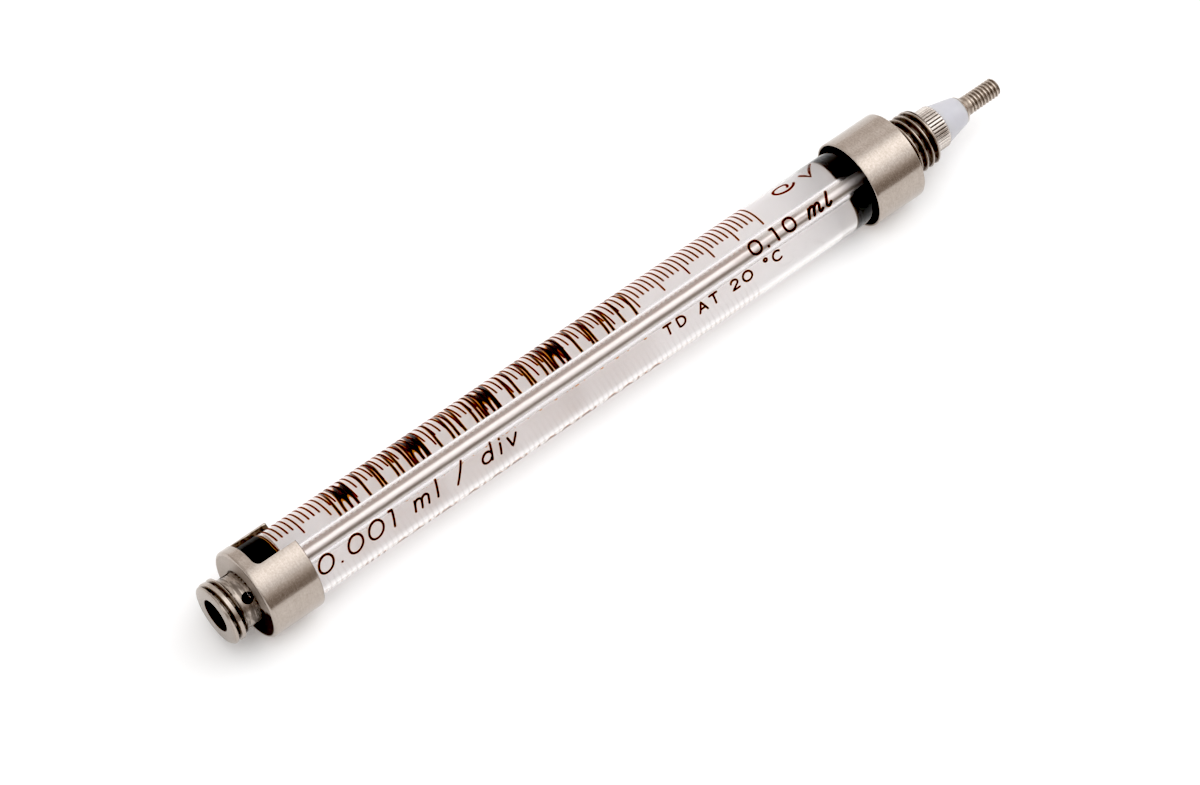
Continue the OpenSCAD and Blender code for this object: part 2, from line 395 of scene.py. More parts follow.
def rear_dirt_and_shade(nt):
    x, r, a = place_nodes(nt)
    patches = noise(nt, (1300, 1300, 1300), 4.0, 0.65)
    # The stub's thread roots are darkened, more in patches.
    groove = product(nt, step(nt, r, 2.93, 2.78), step(nt, x, CUP_X1 + 0.02, CUP_X1 + 0.10), step(nt, patches, 0.34, 0.60, 0.62, 1.0))
    # Painted shade in the stub's bore and in the cup near its floor.
    bore = product(nt, step(nt, r, 2.1, 1.98), step(nt, x, CUP_X1, CUP_X1 + 0.1))
    cup = product(nt, step(nt, r, 4.40, 4.37), step(nt, x, CUP_FLOOR + 0.2, CUP_FLOOR))
    return math_node(nt, "MAXIMUM", math_node(nt, "MAXIMUM", groove, bore), cup)


def nut_dirt_and_shade(nt):
    x, r, a = place_nodes(nt)
    patches = noise(nt, (1700, 1700, 1700), 4.0, 0.65)
    # Darker between the ribs, more in patches; painted shade inside the nut's mouth, round the cone.
    ribs = product(nt, step(nt, r, 2.225, 2.13), step(nt, x, HEAD_X1 - 0.10, HEAD_X1 - 0.18), step(nt, patches, 0.30, 0.60, 0.45, 1.0))
    lip = product(nt, step(nt, r, 1.60, 1.52), step(nt, x, HEAD_X1 - 0.5, HEAD_X1 - 0.4))
    return math_node(nt, "MAXIMUM", ribs, lip)


def stud_dirt_and_shade(nt):
    x, r, a = place_nodes(nt)
    patches = noise(nt, (2600, 2600, 2600), 3.0, 0.65)
    # The thread roots are darkened, more in patches; painted shade on the flare where it meets the thread.
    groove = product(nt, step(nt, r, 0.955, 0.86), step(nt, x, FLARE_X0 + 0.9, FLARE_X0 + 1.0), step(nt, patches, 0.30, 0.60, 0.12, 0.72))
    root = product(nt, step(nt, r, 1.36, 1.05), step(nt, x, FLARE_X0 + 0.06, FLARE_X0 + 0.12), step(nt, x, FLARE_X0 + 0.95, FLARE_X0 + 0.75), step(nt, patches, 0.30, 0.60, 0.10, 0.65))
    return math_node(nt, "MAXIMUM", groove, root)


def glass_material(name, rough, clear=1.0):
    m, nt, out = new_material(name)
    b = node(nt, "ShaderNodeBsdfPrincipled", Roughness=rough, IOR=1.474)
    b.inputs["Transmission Weight"].default_value = 1.0
    b.inputs["Specular Tint"].default_value = (0.22, 0.22, 0.22, 1)
    col = ramp(nt, noise(nt, (60, 60, 60), 2.0), [(0.2, tuple(clear * v for v in (0.825, 0.806, 0.806))), (0.8, tuple(clear * v for v in (0.845, 0.827, 0.826)))])
    link(nt, col, b.inputs["Base Color"])
    link(nt, b.outputs[0], out.inputs["Surface"])
    return m


def ink_material(name, filter_color, solid_color, solid):
    """Fired amber-brown stain: it lets some light through, so it glows orange over a highlight."""
    m, nt, out = new_material(name)
    b = node(nt, "ShaderNodeBsdfPrincipled", Roughness=0.5)
    b.inputs["Specular IOR Level"].default_value = 0.15
    b.inputs["Base Color"].default_value = (*solid_color, 1)
    tr = node(nt, "ShaderNodeBsdfTransparent")
    grain = noise(nt, (5200, 5200, 5200), 2.0)
    col = ramp(nt, grain, [(0.3, [c * 0.82 for c in filter_color]), (0.7, filter_color)])
    link(nt, col, tr.inputs["Color"])
    mix = nt.nodes.new("ShaderNodeMixShader")
    mix.inputs[0].default_value = solid
    link(nt, tr.outputs[0], mix.inputs[1])
    link(nt, b.outputs[0], mix.inputs[2])
    link(nt, mix.outputs[0], out.inputs["Surface"])
    return m


def resin_material(name, reflection_line_x=None, crust=False):
    m, nt, out = new_material(name)
    b = node(nt, "ShaderNodeBsdfPrincipled")
    slow = noise(nt, (900, 900, 900), 3.0)
    col = ramp(nt, slow, [(0.35, (0.003, 0.0025, 0.002)), (0.7, (0.008, 0.006, 0.005))])
    if crust:                                                   # where the knife trimmed it, the resin is torn and brown
        col = ramp(nt, noise(nt, (2600, 2600, 2600), 3.0, 0.6), [(0.38, (0.012, 0.007, 0.005)), (0.62, (0.12, 0.078, 0.055))])
    # Painted reflection: a thin orange-tan line runs round the black resin near its end, wobbling a little.
    if reflection_line_x is not None:
        tc = nt.nodes.new("ShaderNodeTexCoord")
        sep = nt.nodes.new("ShaderNodeSeparateXYZ")
        link(nt, tc.outputs["Object"], sep.inputs[0])
        wob = math_node(nt, "MULTIPLY", math_node(nt, "SUBTRACT", slow, 0.5), 0.25 * MM)
        d = math_node(nt, "ABSOLUTE", math_node(nt, "SUBTRACT", math_node(nt, "ADD", sep.outputs["X"], wob), reflection_line_x * MM))
        f = math_node(nt, "SUBTRACT", 1.0, math_node(nt, "DIVIDE", d, 0.055 * MM, clamp=True), clamp=True)
        mx = nt.nodes.new("ShaderNodeMix")
        mx.data_type = "RGBA"
        link(nt, f, mx.inputs["Factor"])
        link(nt, col, mx.inputs["A"])
        mx.inputs["B"].default_value = (0.30, 0.14, 0.05, 1)
        col = mx.outputs["Result"]
    link(nt, col, b.inputs["Base Color"])
    b.inputs["Specular IOR Level"].default_value = 0.02
    rr = math_node(nt, "MULTIPLY_ADD", slow, 0.25, 0.2)
    link(nt, rr, b.inputs["Roughness"])
    link(nt, bump(nt, noise(nt, (1800, 1800, 1800), 3.0), 0.02), b.inputs["Normal"])
    link(nt, b.outputs[0], out.inputs["Surface"])
    return m


def ptfe_material():
    m, nt, out = new_material("white_ptfe")
    b = node(nt, "ShaderNodeBsdfPrincipled")
    slow = noise(nt, (700, 700, 700), 3.0)
    col = ramp(nt, slow, [(0.3, (0.505, 0.505, 0.545)), (0.7, (0.54, 0.54, 0.58))])
    link(nt, col, b.inputs["Base Color"])
    b.inputs["Subsurface Weight"].default_value = 1.0
    b.inputs["Subsurface Radius"].default_value = (1.0, 1.0, 1.1)
    b.inputs["Subsurface Scale"].default_value = 0.0016
    rr = math_node(nt, "MULTIPLY_ADD", noise(nt, (4000, 4000, 4000), 2.0), 0.2, 0.36)
    link(nt, rr, b.inputs["Roughness"])
    link(nt, bump(nt, noise(nt, (6500, 500, 500), 2.0), 0.004), b.inputs["Normal"])
    link(nt, b.outputs[0], out.inputs["Surface"])
    return m


LIGHT, DARK = (0.49, 0.43, 0.385), (0.39, 0.335, 0.29)
FRONT_STEEL = steel("front_fitting_steel", LIGHT, DARK, dirt_and_shade=front_dirt_and_shade, dirt_and_shade_color=(0.030, 0.017, 0.010), mottle=0.7, dull=front_dull)
REAR_STEEL = steel("rear_fitting_steel", LIGHT, DARK, dirt_and_shade=rear_dirt_and_shade, dirt_and_shade_color=(0.045, 0.024, 0.012), mottle=0.9)
NUT = steel("nut_steel", (0.66, 0.61, 0.57), (0.50, 0.45, 0.41), rough=0.22, aniso=0.2, ring=0.2, dirt_and_shade=nut_dirt_and_shade, dirt_and_shade_color=(0.06, 0.036, 0.02))
STUD = steel("stud_steel", (0.60, 0.52, 0.455), (0.44, 0.375, 0.32), rough=0.22, aniso=0.2, ring=0.2, dirt_and_shade=stud_dirt_and_shade, dirt_and_shade_color=(0.06, 0.036, 0.02))
PLUNGER = steel("plunger_steel", (0.87, 0.84, 0.81), (0.80, 0.765, 0.74), rough=0.31, aniso=0.9, ring=0.1, grain=0.05)
GLASS, GLASS_BORE = glass_material("barrel_glass", 0.0), glass_material("barrel_glass_ground", 0.16, 0.95)
INK = ink_material("scale_ink", (0.42, 0.13, 0.08), (0.12, 0.018, 0.008), 0.07)
INK_DENSE = ink_material("scale_ink_dense", (0.20, 0.03, 0.015), (0.03, 0.004, 0.002), 0.10)
INK_BACK = ink_material("scale_ink_back", (0.13, 0.015, 0.006), (0.02, 0.002, 0.001), 0.06)
INK_EDGE = ink_material("scale_ink_edge", (0.92, 0.60, 0.36), (0.40, 0.12, 0.03), 0.04)
INK_AMBER = ink_material("scale_ink_amber", (0.98, 0.62, 0.20), (0.55, 0.20, 0.02), 0.03)
RESIN = resin_material("black_epoxy")
RESIN_CRUST = resin_material("black_epoxy_crust", crust=True)
RESIN_FRONT = resin_material("black_epoxy_front", CEMENT_X1 - 0.13)
PTFE = ptfe_material()

# ---------------------------------------------------------------- front fitting
def nose_depth(p, x):
    fade = min(max((x - 0.06) / 0.16, 0), 1)
    return vee(0.40, 0.44, 0.12, p) * fade


def nose_limit(x):
    front = NOSE_R - 0.20 + min(x, 0.20)
    back = NECK_R + max(0.0, 1.6 - x) * 2.6
    return min(front, back)


f, q = 0.28, 0.14
outline = [(NOSE_BORE_R + 0.07, 0.0), (2.2, 0.0), (NOSE_R - 0.22, 0.0), (NOSE_R - 0.20, 0.008)]
outline += [Helix(0.01, 1.6, 0.79, NOSE_R, nose_depth, 20, nose_limit, start=0.33)]
outline += [(NECK_R, 1.62), (NECK_R, 2.2), (NECK_R, 2.8), (NECK_R, COLLAR_X0 - 0.05), (NECK_R + 0.05, COLLAR_X0)]
outline += arc(COLLAR_R - f, COLLAR_X0 + f, f, -90, 0, 7)
outline += [(COLLAR_R, x) for x in np.linspace(COLLAR_X0 + f + 0.3, COLLAR_X1 - q - 0.3, 10)]
outline += arc(COLLAR_R - q, COLLAR_X1 - q, q, 0, 90, 5)
outline += [(4.05, COLLAR_X1), (4.0, COLLAR_X1 - 0.05), (4.0, 7.0), (4.0, 5.0), (4.0, GLASS_X0), (NOSE_BORE_R, GLASS_X0), (NOSE_BORE_R, 2.0), (NOSE_BORE_R, 0.07)]
front = turned("front_fitting_turned", outline, 240, FRONT_STEEL, "barrel", sharp=40)

# The window over the start of the scale, with rounded inner corners and a
# small break on its outer edges.
WIN_X0, WIN_HI, WIN_LO, WIN_R = ZERO_X + 0.35, 96.8, 19.0, 0.6


def window_loop(radius, grow):
    rad = 4.28                                   # the loop is drawn at mid wall
    hi = math.radians(WIN_HI) * rad + grow
    lo = math.radians(WIN_LO) * rad - grow
    x0 = WIN_X0 - grow
    r = WIN_R
    pts = [(COLLAR_X1 + 1, hi)]
    pts += [(x0 + r - r * math.sin(math.radians(a)), hi - r + r * math.cos(math.radians(a))) for a in range(0, 91, 9)]
    steps = 40
    pts += [(x0, hi - r + (lo + r - (hi - r)) * i / steps) for i in range(1, steps)]
    pts += [(x0 + r - r * math.cos(math.radians(a)), lo + r - r * math.sin(math.radians(a))) for a in range(0, 91, 9)]
    pts += [(COLLAR_X1 + 1, lo)]
    pts += [(COLLAR_X1 + 1, lo + (hi - lo) * i / steps) for i in range(1, steps)]
    return [at(x, radius, math.degrees(v / rad)) for x, v in pts]


boolean(front, loft("cut", [window_loop(3.5, -0.0), window_loop(COLLAR_R - 0.07, 0.0), window_loop(COLLAR_R + 0.2, 0.24), window_loop(7.5, 0.24)]))
for k in range(4):
    a = 124 + 90 * k
    u = Vector(at(0, 1, a))
    w = Vector((1, 0, 0)).cross(u)
    loops = []
    for depth, rr in ((0.8, 0.575), (NECK_R - 0.055, 0.575), (NECK_R + 0.12, 0.70)):
        loops.append([tuple(Vector((2.7, 0, 0)) + u * depth + Vector((1, 0, 0)) * rr * math.cos(TAU * i / 40) + w * rr * math.sin(TAU * i / 40)) for i in range(40)])
    boolean(front, loft("cut", loops))
clean(front, 30, merge=0.0005)
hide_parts("front_fitting")

# ---------------------------------------------------------------- rear fitting
def stub_depth(p, x):
    fade = min(max((STUB_X1 - 0.05 - x) / 0.25, 0), 1)
    return vee(0.46, 0.10, 0.34, p) * fade


def stub_limit(x):
    return min(STUB_R - 0.18 + max(STUB_X1 - x, 0) * 1.0, 2.56 + max(x - CUP_X1 - 0.12, 0) * 2.2)


w = 0.1
outline = arc(COLLAR_R - w, CUP_X0 + w, w, -180, 0, 10)
outline += [(COLLAR_R, x) for x in np.linspace(CUP_X0 + 0.5, CUP_X1 - 0.5, 10)]
outline += arc(COLLAR_R - 0.09, CUP_X1 - 0.09, 0.09, 0, 90, 5)
outline += [(3.5, CUP_X1), (2.62, CUP_X1), (2.56, CUP_X1 + 0.05)]
outline += [Helix(CUP_X1 + 0.06, STUB_X1 - 0.004, 0.75, STUB_R, stub_depth, 20, stub_limit, start=0.06)]
outline += [(STUB_R - 0.2, STUB_X1), (2.3, STUB_X1), (STUB_BORE_R + 0.05, STUB_X1), (STUB_BORE_R, STUB_X1 - 0.05), (STUB_BORE_R, 82.5), (STUB_BORE_R, SEAT_X), (0.85, SEAT_X), (0.85, CUP_FLOOR), (COLLAR_R - 0.2, CUP_FLOOR), (COLLAR_R - 0.2, CUP_X0 + 2), (COLLAR_R - 0.2, CUP_X0 + 0.4)]
rear = turned("rear_fitting_turned", outline, 240, REAR_STEEL, "barrel", sharp=40)
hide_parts("rear_fitting")

# ---------------------------------------------------------------- gland nut
RIBS, RIB_STEPS = 38, 14
head_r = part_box("gland_nut")[1].z / MM


def ribbed(theta, r, x):
    if r < 2.0 or x < HEAD_X0 - 0.001:
        return r, x
    ph = (theta / TAU * RIBS) % 1.0
    t = min(max((abs(ph - 0.5) * 2 - 0.52) / 0.48, 0), 1)      # 0 on a rib's top, 1 in a groove
    end = min(max((x - HEAD_X0) / 0.05, 0), 1)
    return r - 0.14 * (t ** 1.3) * end, x


outline = [(0.95, SHANK_X0), (1.79, SHANK_X0), (1.94, SHANK_X0 + 0.15), (1.94, HEAD_X0), (2.04, HEAD_X0), (head_r - 0.05, HEAD_X0 + 0.01)]
outline += [(head_r, HEAD_X0 + 0.07)] + [(head_r, x) for x in np.linspace(HEAD_X0 + 0.3, HEAD_X1 - 0.4, 6)]
outline += arc(head_r - 0.17, HEAD_X1 - 0.17, 0.17, 0, 60, 4)
outline += [(2.06, HEAD_X1 - 0.012), (1.98, HEAD_X1), (1.53, HEAD_X1), (1.5, HEAD_X1 - 0.03), (1.5, HEAD_X1 - 1.05), (0.9, HEAD_X1 - 1.05), (0.9, SHANK_X0 + 0.05)]
nut = turned("gland_nut_ribbed", outline, RIBS * RIB_STEPS, NUT, "barrel", sharp=38, angle=ribbed)
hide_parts("gland_nut")

# ---------------------------------------------------------------- guide cone
inner = ROD_R + 0.02
outline = [(inner, HEAD_X1 - 1.05), (1.49, HEAD_X1 - 1.05), (1.49, HEAD_X1 - 0.01), (1.6, HEAD_X1), (2.02, HEAD_X1)]
outline += arc(2.04, HEAD_X1 + 0.08, 0.08, -90, 12, 5)
outline += [(2.12 - 0.65 * ((x - HEAD_X1) / (CONE_X1 - HEAD_X1)), x) for x in np.linspace(HEAD_X1 + 0.3, CONE_X1 - 0.2, 8)]
outline += arc(1.37, CONE_X1 - 0.08, 0.08, 12, 90, 5) + [(1.0, CONE_X1), (inner, CONE_X1)]
cone = turned("guide_cone_turned", outline, 160, PTFE, "barrel", sharp=40)
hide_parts("guide_cone")

# ---------------------------------------------------------------- resin
c = 0.15
outline = [(GLASS_R - 0.006, GLASS_X0 + c), (GLASS_R - c, GLASS_X0), (4.0, GLASS_X0), (4.0, 5.5), (3.995, CEMENT_X1 - 0.12)]
outline += [(3.975, CEMENT_X1 - 0.04), (3.93, CEMENT_X1), (GLASS_R - 0.006, CEMENT_X1)]
fc = turned("front_cement_fillet", outline, 192, RESIN_FRONT, "barrel", sharp=50)
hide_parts("front_cement")

# Resin smeared over the window's far edge.
def smear(name, x0, x1, seed):
    rng = np.random.default_rng(seed)
    loops, n = [], 30
    wob = np.convolve(rng.normal(0, 1, n + 8), np.ones(5) / 5, "same")[4:-4]
    for i in range(n):
        x = x0 + (x1 - x0) * i / (n - 1)
        end = min(i, n - 1 - i) / 3
        k = min(end, 1.0)
        high = COLLAR_R - 0.10 + 0.05 * wob[i] - 0.12 * (1 - k)
        low = 3.93
        thick = (0.10 + 0.03 * wob[i]) * (0.35 + 0.65 * k)
        ring = []
        for r, lift in ((low, -0.03), (high, -0.03), (high + 0.01, 0.25 * thick), (high - 0.07, 0.7 * thick), (0.5 * (low + high), thick), (low, thick * 1.5)):
            a = WIN_LO + math.degrees(lift / 4.2)
            ring.append(at(x, r, a))
        loops.append(ring)
    verts = [q for ring in loops for q in ring]
    m = 6
    faces = [tuple(reversed(range(m))), tuple((n - 1) * m + i for i in range(m))]
    faces += [(k * m + i, k * m + (i + 1) % m, (k + 1) * m + (i + 1) % m, (k + 1) * m + i) for k in range(n - 1) for i in range(m)]
    return mesh_object(name, verts, faces, RESIN_CRUST, "barrel", sharp=60)


smear("window_resin", WIN_X0 + 0.05, COLLAR_X1 - 0.03, 7)

top = CUP_X0 + 0.3
outline = [(GLASS_R - 0.006, top - 0.0), (3.97, top + 0.03), (4.14, top + 0.06), (4.3, top), (COLLAR_R - 0.2, top - 0.08), (COLLAR_R - 0.2, CUP_FLOOR), (GLASS_R - c, CUP_FLOOR), (GLASS_R - 0.006, CUP_FLOOR - c)]
rc = turned("rear_cement_fillet", outline, 192, RESIN, "barrel", sharp=50)
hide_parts("rear_cement")

# ---------------------------------------------------------------- glass
def tube_line(r, x0, x1, n):
    return [(r, x) for x in np.linspace(x0, x1, n)]


outline = [(BORE_R + 0.03, GLASS_X0), (GLASS_R - c, GLASS_X0)] + tube_line(GLASS_R, GLASS_X0 + c, GLASS_X1 - c, 40)
outline += [(GLASS_R - c, GLASS_X1), (BORE_R + 0.03, GLASS_X1)] + tube_line(BORE_R, GLASS_X1 - 0.05, GLASS_X0 + 0.05, 40)
tube = turned("glass_barrel_tube", outline, 288, GLASS, "barrel", sharp=25)
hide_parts("glass_barrel")
# The bore's wall is honed, so it spreads light a little.
tube.data.materials.append(GLASS_BORE)
for f in tube.data.polygons:
    f.material_index = int(math.hypot(f.center.y, f.center.z) < 0.75 * MM)

# ---------------------------------------------------------------- print on the glass
def ribbon(points, half, rim, closed=False):
    """Rows across a stroke: rim, core edge, core edge, rim. Open strokes get round ends."""
    p = np.array(points, float)
    if closed:
        d = np.roll(p, -1, 0) - np.roll(p, 1, 0)
    else:
        d = np.gradient(p, axis=0)
    d /= np.linalg.norm(d, axis=1)[:, None]
    nrm = np.stack([-d[:, 1], d[:, 0]], 1)
    wide = half + rim
    rows = [[p[i] + nrm[i] * w for w in (wide, half, -half, -wide)] for i in range(len(p))]
    if closed:
        return rows
    for end, sign in ((0, -1), (-1, 1)):
        extra = []
        for deg in (24, 46, 66, 86):
            c, t = math.cos(math.radians(deg)), sign * math.sin(math.radians(deg))
            extra.append([p[end] + d[end] * t * abs(w) + nrm[end] * c * w for w in (wide, half, -half, -wide)])
        rows = extra[::-1] + rows if end == 0 else rows + extra
    return rows


def curve_points(path, step=0.07):
    """Even points along a list of ('l', x, y) lines and ('a', cx, cy, rx, ry, a0, a1[, power]) arcs. A power over 2 squares an arc's shoulders."""
    out = []
    for seg in path:
        if seg[0] == "l":
            new = [(seg[1], seg[2])]
        else:
            _, cx, cy, rx, ry, a0, a1 = seg[:7]
            e = 2 / seg[7] if len(seg) > 7 else 1
            k = max(3, int(abs(a1 - a0) / 9))
            new = []
            for i in range(k + 1):
                t = math.radians(a0 + (a1 - a0) * i / k)
                c, n = math.cos(t), math.sin(t)
                new.append((cx + rx * math.copysign(abs(c) ** e, c), cy + ry * math.copysign(abs(n) ** e, n)))
        for q0 in new:
            if out:
                px, py = out[-1]
                dist = math.hypot(q0[0] - px, q0[1] - py)
                if dist < 1e-4:
                    continue
                m = int(dist / step)
                out += [(px + (q0[0] - px) * i / (m + 1), py + (q0[1] - py) * i / (m + 1)) for i in range(1, m + 1)]
            out.append(q0)
    return out


# Plain round figures, one unit high. Each is (width, [(stroke, closed)]); y runs up.
FIGURES = {
    "0": (0.90, [([("a", 0.45, 0.5, 0.43, 0.5, 90, 450)], True)]),
    "1": (0.40, [([("l", 0.06, 0.98), ("l", 0.26, 0.98), ("l", 0.26, 0.0)], False)]),
    "2": (0.72, [([("a", 0.35, 0.70, 0.31, 0.30, 170, -38), ("l", 0.03, 0.0), ("l", 0.68, 0.0)], False)]),
    "3": (0.72, [([("a", 0.33, 0.755, 0.28, 0.245, 155, -90), ("a", 0.33, 0.255, 0.33, 0.255, 90, -155)], False)]),
    "4": (0.78, [([("l", 0.74, 0.26), ("l", 0.03, 0.26), ("l", 0.56, 1.0), ("l", 0.56, 0.0)], False)]),
    "5": (0.72, [([("l", 0.64, 1.0), ("l", 0.20, 1.0), ("l", 0.12, 0.56), ("a", 0.34, 0.32, 0.33, 0.32, 120, -150)], False)]),
    "6": (0.76, [([("l", 0.55, 1.0), ("l", 0.12, 0.47), ("a", 0.38, 0.32, 0.34, 0.32, 150, 510)], False)]),
    "7": (0.70, [([("l", 0.03, 1.0), ("l", 0.66, 1.0), ("l", 0.22, 0.0)], False)]),
    "8": (0.72, [([("a", 0.36, 0.755, 0.27, 0.245, 90, 450)], True), ([("a", 0.36, 0.255, 0.33, 0.255, 90, 450)], True)]),
    "9": (0.76, [([("l", 0.21, 0.0), ("l", 0.64, 0.53), ("a", 0.38, 0.68, 0.34, 0.32, -30, 330)], False)]),
    ".": (0.20, [([("l", 0.09, 0.03), ("l", 0.11, 0.03)], False)]),
    "/": (0.46, [([("l", 0.02, -0.08), ("l", 0.42, 1.06)], False)]),
    "m": (1.00, [([("l", 0.06, 0.0), ("l", 0.06, 0.62)], False), ([("l", 0.06, 0.36), ("a", 0.27, 0.42, 0.20, 0.21, 165, 0), ("l", 0.47, 0.0)], False),
                 ([("l", 0.47, 0.36), ("a", 0.68, 0.42, 0.20, 0.21, 165, 0), ("l", 0.88, 0.0)], False)]),
    "l": (0.18, [([("l", 0.09, 1.0), ("l", 0.09, 0.0)], False)]),
    "d": (0.74, [([("a", 0.34, 0.31, 0.29, 0.31, 20, 340)], False), ([("l", 0.63, 1.0), ("l", 0.63, 0.0)], False)]),
    "i": (0.18, [([("l", 0.09, 0.62), ("l", 0.09, 0.0)], False), ([("l", 0.09, 0.86), ("l", 0.09, 0.88)], False)]),
    "v": (0.58, [([("l", 0.03, 0.62), ("l", 0.29, 0.0), ("l", 0.55, 0.62)], False)]),
    "T": (0.76, [([("l", 0.02, 1.0), ("l", 0.74, 1.0)], False), ([("l", 0.38, 1.0), ("l", 0.38, 0.0)], False)]),
    "D": (0.84, [([("l", 0.08, 0.5), ("l", 0.08, 1.0), ("l", 0.34, 1.0), ("a", 0.34, 0.5, 0.44, 0.5, 90, -90), ("l", 0.08, 0.0)], True)]),
    "A": (0.76, [([("l", 0.0, 0.0), ("l", 0.38, 1.0), ("l", 0.76, 0.0)], False), ([("l", 0.14, 0.34), ("l", 0.62, 0.34)], False)]),
    "C": (0.88, [([("a", 0.47, 0.5, 0.43, 0.5, 48, 312)], False)]),
    "o": (0.36, [([("a", 0.18, 0.84, 0.15, 0.15, 90, 450)], True)]),
    " ": (0.40, []),
}

INK_T = 0.008


class Print:
    """Collects strokes in the glass's developed surface: u along the axis and v around it, both in mm."""

    def __init__(self, band=0.032):
        self.band = band
        self.verts, self.faces, self.rim = [], [], []

    def stroke(self, points, half, closed=False, rim=None):
        rim = self.band if rim is None else rim
        rows = ribbon(points, half, rim, closed)
        base, n = len(self.verts), 8
        for row in rows:
            for r, pts in ((GLASS_R + INK_T, row), (GLASS_R - INK_T, row[::-1])):
                self.verts += [at(u, r, math.degrees(v / GLASS_R)) for u, v in pts]
        m = len(rows)
        for i in range(m if closed else m - 1):
            k = (i + 1) % m
            for j in range(n):
                l = (j + 1) % n
                self.faces.append((base + i * n + j, base + i * n + l, base + k * n + l, base + k * n + j))
                self.rim.append(j not in (1, 5))
        if not closed:
            for row, order in ((0, range(n)), (m - 1, reversed(range(n)))):
                self.faces.append(tuple(base + row * n + j for j in order))
                self.rim.append(True)

    def glyph(self, strokes, x, deg, scale, half, slant=0.0, up=-1, widen=1.0):
        """One glyph with its left end at x and its foot at the angle deg."""
        run = 1 if up < 0 else -1
        foot = math.radians(deg) * GLASS_R
        for path, closed in strokes:
            pts = curve_points(path)
            if closed:
                pts = pts[:-1]
            self.stroke([(x + run * (px * widen + py * slant) * scale, foot + up * py * scale) for px, py in pts], half, closed)

    def text(self, text, x, deg, height, half, up=-1, slant=0.0, gap=0.16, centre=True, widen=1.0):
        """Writes text with its foot at the angle deg. up is -1 where the letters' tops point to lower angles."""
        total = sum(FIGURES[ch][0] for ch in text) * widen + gap * (len(text) - 1)
        pen = -total / 2 if centre else 0.0
        run = 1 if up < 0 else -1
        for ch in text:
            width, strokes = FIGURES[ch]
            self.glyph(strokes, x + run * pen * height, deg, height, half, slant, up, widen)
            pen += width * widen + gap

    def build(self, name, ink, edge=None):
        ob = mesh_object(name, self.verts, self.faces, ink, "barrel", sharp=40)
        ob.data.materials.append(edge or INK_EDGE)
        for f, rim in zip(ob.data.polygons, self.rim):
            f.material_index = int(rim)


TICK_END_MINOR, TICK_END_LONG, TICK_FAR = 79.4, 92.9, 30.0
scale = Print()
for i in range(3, 101):
    x = ZERO_X + DIV * i
    end = TICK_END_LONG if i % 5 == 0 else TICK_END_MINOR
    drift = (i - 50) * 0.034                      # the print isn't quite square to the axis
    pts = [(x, math.radians(a) * GLASS_R) for a in np.linspace(TICK_FAR, end + drift, 26)]
    scale.stroke(pts, 0.073)
scale.build("scale_divisions", INK)

figures = Print()
# The capacity, in round upright figures and a heavy slanted "ml".
FOOT = 125.4
ZERO = [([("a", 0.0, 0.64, 0.595, 0.64, 90, 450, 2.35)], True)]
figures.glyph(ZERO, 62.03, FOOT, 1.0, 0.105)
figures.glyph([([("l", -0.012, 0.03), ("l", 0.012, 0.03)], False)], 63.27, FOOT, 1.0, 0.125)
figures.glyph([([("l", -0.29, 1.26), ("l", 0.0, 1.26), ("l", 0.0, 0.0)], False)], 64.53, FOOT, 1.0, 0.115)
figures.glyph(ZERO, 66.22, FOOT, 1.0, 0.105)
figures.glyph([([("l", 0.0, 0.0), ("l", 0.40, 0.80)], False),
               ([("l", 0.16, 0.34), ("l", 0.40, 0.66), ("l", 0.62, 0.82), ("l", 0.84, 0.86), ("l", 0.96, 0.80), ("l", 0.96, 0.66), ("l", 0.62, 0.0)], False),
               ([("l", 0.80, 0.34), ("l", 1.04, 0.66), ("l", 1.26, 0.82), ("l", 1.48, 0.86), ("l", 1.60, 0.80), ("l", 1.60, 0.66), ("l", 1.34, 0.14), ("l", 1.38, 0.0), ("l", 1.54, 0.0), ("l", 1.74, 0.12)], False)],
              68.30, FOOT, 1.0, 0.125)
figures.glyph([([("l", 0.58, 1.26), ("l", 0.0, 0.24), ("l", -0.02, 0.06), ("l", 0.12, -0.02), ("l", 0.32, 0.06), ("l", 0.52, 0.22)], False)], 70.60, FOOT, 1.0, 0.125)
figures.build("capacity_figures", INK_DENSE)
figures = Print()
# Plain legends: the value of one division, and the temperature it was marked at.
figures.text("0.001 ml / div", 20.6, 156.0, 1.62, 0.098, slant=0.24, gap=0.40, widen=1.16)
figures.text("TD AT 20 oC", 57.0, 150.0, 0.94, 0.086, gap=0.58, widen=1.3)
figures.build("scale_figures", INK_DENSE)
# A hand-drawn ring and tick, the usual mark of an inspected barrel.
marks = Print()
v0 = math.radians(60.0) * GLASS_R
marks.stroke([(68.1 + 0.98 * math.cos(t) + 0.10 * t, v0 - 0.62 * math.sin(t) + 0.03 * t) for t in np.linspace(-0.5, 2 * math.pi - 0.2, 34)], 0.12)
marks.stroke([(70.7, v0 - 0.1), (70.95, v0 + 0.35), (71.3, v0 + 0.95), (71.6, v0 + 0.35), (72.0, v0 - 0.25), (72.6, v0 - 0.95)], 0.12)
marks.build("hand_marks", INK)
# The back of the barrel carries plain volumes, to be read from that side.
back = Print(band=0.055)
for x, words in ((ZERO_X + 16.3, "0.100 ml"), (ZERO_X + 24.6, "0.010 ml"), (ZERO_X + 32.9, "0.001 ml"), (ZERO_X + 41.2, "0.100 ml")):
    back.text(words, x, -65.4, 1.62, 0.105, up=1, gap=0.16, widen=1.08)
back.build("back_figures", INK_BACK, INK_AMBER)


